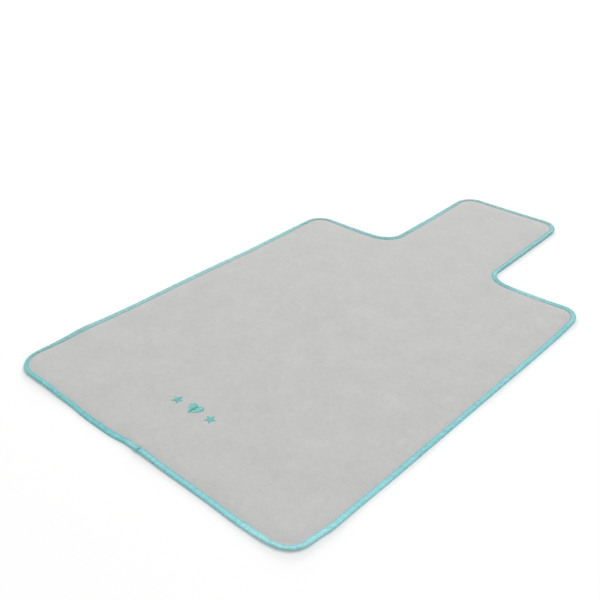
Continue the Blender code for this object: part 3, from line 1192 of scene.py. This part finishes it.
class PAD_OT_add_stitching(bpy.types.Operator):
    """Add the lockstitch seam through the binding: a row of stitches above, and one below"""

    bl_idname = "changing_pad.add_stitching"
    bl_label = "Add Stitching"

    def execute(self, context):
        shape, tape = context.scene.pad_shape, context.scene.tape_shape
        solid = bmesh.new()
        places = outline_places(shape, tape.stitch_length, SEAM_INSET)
        along = around_front(places)
        # The upper thread lies in the groove, and runs up over the lapped end
        on_lap = 0.75 * MM * rise(along, LAP_LOW.x - 2 * MM, 8 * MM) * (along < LAP_EDGE)
        top = tape.seam - GROOVE + tape.thread * 0.3 + lap_lump(along) + on_lap
        # The seam keeps to its place on the tape where that is narrower or wider
        drift = SEAM_INSET - narrow(places, np.array([[SEAM_INSET]]))[:, 0]
        places[:, :2] += places[:, 2:4] * drift[:, None]
        # A stitch shows over 0.84 of its length, and dips into the cloth between
        stitch = one_thread(6, 4)
        size = Matrix.Diagonal((tape.stitch_length * 0.42, tape.thread / 2, tape.thread / 2, 1))
        for (x, y, out_x, out_y, _), height in zip(places, top):
            heading = Matrix.Rotation(math.atan2(out_y, out_x) + math.pi / 2, 4, "Z")
            for level in (height, tape.thread / 2):
                add_copy(solid, stitch, Matrix.Translation((x, y, level)) @ heading @ size)
        material = thread_material("spun_polyester_thread", context.scene.pad_colours.thread, 0.5)
        item = add_piece("lockstitches", solid, material)
        settle(item, shape)
        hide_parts("binding_stitching_pad", "binding_stitching_tab")
        fold_with_tab(item)
        return {"FINISHED"}


# ---------------------------------------------------------------------------
# Embroidery
# ---------------------------------------------------------------------------

# Distance between neighbouring threads, and how far each one runs past its two needle holes' places
THREAD_PITCH = 0.55 * MM
THREAD_OVERRUN = 0.3 * MM
# Long threads lie plumper than short ones, between these heights
LEAST_PLUMP, MOST_PLUMP = 0.25 * MM, 0.5 * MM
# Width of the usual heart curve in its own units, and how far its middle lies below its origin
HEART_CURVE_WIDTH = 32
HEART_CURVE_DROP = 2.5
HEART_EDGE_STEPS = 60
HEART_SLANT = math.radians(25)
STAR_ARMS = 5
STITCHES_PER_HALF_ARM = 11


def heart_point(turn):
    """Point of a heart's outline, from the usual sine curve; turn 0 is the notch and pi the tip."""
    unit = (HEART_HIGH.x - HEART_LOW.x) / HEART_CURVE_WIDTH
    middle_y = (HEART_HIGH.y + HEART_LOW.y) / 2
    across = 16 * math.sin(turn) ** 3
    along = 13 * math.cos(turn) - 5 * math.cos(2 * turn) - 2 * math.cos(3 * turn) - math.cos(4 * turn)
    return Vector((unit * across, middle_y + unit * (along + HEART_CURVE_DROP)))


def heart_columns():
    """Two columns of parallel stitches, which slant up from the heart's middle line to its edges."""
    edge = [heart_point(math.pi * step / HEART_EDGE_STEPS) for step in range(HEART_EDGE_STEPS + 1)]
    slant = Vector((math.cos(HEART_SLANT), math.sin(HEART_SLANT)))
    heights = [slant.cross(point) for point in edge]
    low_end, reach = min(heights), max(heights) - min(heights)
    rows = int(reach / (0.8 * THREAD_PITCH))
    right = []
    for row in range(rows):
        height = low_end + (row + 0.5) * reach / rows
        ends = []
        for here, there in zip(edge, edge[1:] + edge[:1]):
            low, high = slant.cross(here) - height, slant.cross(there) - height
            if low * high < 0:
                ends.append(here.lerp(there, low / (low - high)))
        right.append(ends[:2])
    left = [[Vector((-end.x, end.y)) for end in ends] for ends in right]
    return [right, left]


def star_columns(middle_x):
    """Ten columns of stitches, from each arm's middle line to its two edges."""
    reach = (STAR_HIGH.x - STAR_LOW.x) / 2 / math.cos(math.radians(18))
    middle = Vector((middle_x, STAR_HIGH.y - reach))
    columns = []
    for arm in range(STAR_ARMS):
        angle = math.pi / 2 + math.tau * arm / STAR_ARMS
        tip = middle + reach * Vector((math.cos(angle), math.sin(angle)))
        for side in (1, -1):
            bend = angle + side * math.pi / STAR_ARMS
            corner = middle + reach / 2 * Vector((math.cos(bend), math.sin(bend)))
            shares = [(step + 0.4) / STITCHES_PER_HALF_ARM for step in range(STITCHES_PER_HALF_ARM)]
            columns.append([(middle.lerp(tip, share), corner.lerp(tip, share)) for share in shares])
    return columns


def add_motif(context, name, node, columns):
    """Satin-stitched motif: a thread for each pair of points, plump in its middle."""
    solid = bmesh.new()
    thread = one_thread(6, 6)
    for start, end in [pair for column in columns for pair in column]:
        middle = (start + end) / 2
        half = (end - start) / 2
        length = half.length + THREAD_OVERRUN
        plump = min(MOST_PLUMP, LEAST_PLUMP + 0.08 * length)
        heading = Matrix.Rotation(math.atan2(half.y, half.x), 4, "Z")
        size = Matrix.Diagonal((length, THREAD_PITCH * 0.75, plump, 1))
        where = Matrix.Translation((middle.x, middle.y, COVER_TOP))
        add_copy(solid, thread, where @ heading @ size)
    material = thread_material("rayon_embroidery_thread", context.scene.pad_colours.embroidery, 0.35)
    item = add_piece(name, solid, material)
    settle(item, context.scene.pad_shape, share=1.0)
    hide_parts(node)
    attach(item, "pad")


class PAD_OT_add_embroidery(bpy.types.Operator):
    """Add the heart and the two stars in satin stitch"""

    bl_idname = "changing_pad.add_embroidery"
    bl_label = "Add Embroidery"

    def execute(self, context):
        star_x = (STAR_LOW.x + STAR_HIGH.x) / 2
        add_motif(context, "embroidered_heart", "motif_heart", heart_columns())
        add_motif(context, "embroidered_star_left", "motif_star_left", star_columns(-star_x))
        add_motif(context, "embroidered_star_right", "motif_star_right", star_columns(star_x))
        return {"FINISHED"}


class PAD_OT_add_stabiliser(bpy.types.Operator):
    """Add the patch of backing that lies under the cover behind the embroidery"""

    bl_idname = "changing_pad.add_stabiliser"
    bl_label = "Add Stabiliser"

    def execute(self, context):
        size = (PATCH_HIGH - PATCH_LOW) / 2
        middle = (PATCH_HIGH + PATCH_LOW) / 2
        solid = bmesh.new()
        # It lies between the wadding's top and the cover's underside
        where = Matrix.Translation((middle.x, middle.y, COVER_FIELD - 0.18 * MM))
        place = where @ Matrix.Diagonal((size.x, size.y, 1, 1))
        bmesh.ops.create_grid(solid, x_segments=24, y_segments=10, size=1, matrix=place)
        thicken(solid, 2 * size.z)
        material = plain_fibre_material("tear_away_backing", "e6e6e5", 0.9, 1 * MM)
        item = add_piece("stabiliser_patch", solid, material)
        settle(item, context.scene.pad_shape, share=1.0)
        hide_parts("embroidery_stabiliser")
        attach(item, "pad")
        return {"FINISHED"}


# ---------------------------------------------------------------------------
# Registration and the whole pad
# ---------------------------------------------------------------------------


class PAD_PT_panel(bpy.types.Panel):
    """Sidebar panel with the pad's sizes, colours and pieces"""

    bl_idname = "PAD_PT_panel"
    bl_label = "Changing Pad"
    bl_space_type = "VIEW_3D"
    bl_region_type = "UI"
    bl_category = "Changing Pad"

    def draw(self, context):
        column = self.layout.column()
        for group in (context.scene.pad_shape, context.scene.tape_shape, context.scene.pad_colours):
            for name in group.__annotations__:
                column.prop(group, name)
        for operator in OPERATORS:
            column.operator(operator.bl_idname)


OPERATORS = [
    PAD_OT_set_stage,
    PAD_OT_add_base_cloth,
    PAD_OT_add_waterproof_film,
    PAD_OT_add_wadding,
    PAD_OT_add_stabiliser,
    PAD_OT_add_top_cover,
    PAD_OT_add_edge_binding,
    PAD_OT_add_binding_lap,
    PAD_OT_add_stitching,
    PAD_OT_add_embroidery,
]
GROUPS = {"pad_shape": PadShape, "tape_shape": TapeShape, "pad_colours": PadColours}


def register():
    for item in [*GROUPS.values(), *OPERATORS, PAD_PT_panel]:
        bpy.utils.register_class(item)
    for name, group in GROUPS.items():
        setattr(bpy.types.Scene, name, bpy.props.PointerProperty(type=group))


def unregister():
    for name in GROUPS:
        delattr(bpy.types.Scene, name)
    for item in [PAD_PT_panel, *reversed(OPERATORS), *GROUPS.values()]:
        bpy.utils.unregister_class(item)


def main():
    register()
    bpy.ops.changing_pad.set_stage()
    bpy.ops.changing_pad.add_base_cloth()
    bpy.ops.changing_pad.add_waterproof_film()
    bpy.ops.changing_pad.add_wadding()
    bpy.ops.changing_pad.add_stabiliser()
    bpy.ops.changing_pad.add_top_cover()
    bpy.ops.changing_pad.add_edge_binding()
    bpy.ops.changing_pad.add_binding_lap()
    bpy.ops.changing_pad.add_stitching()
    bpy.ops.changing_pad.add_embroidery()


if __name__ == "__main__":
    main()
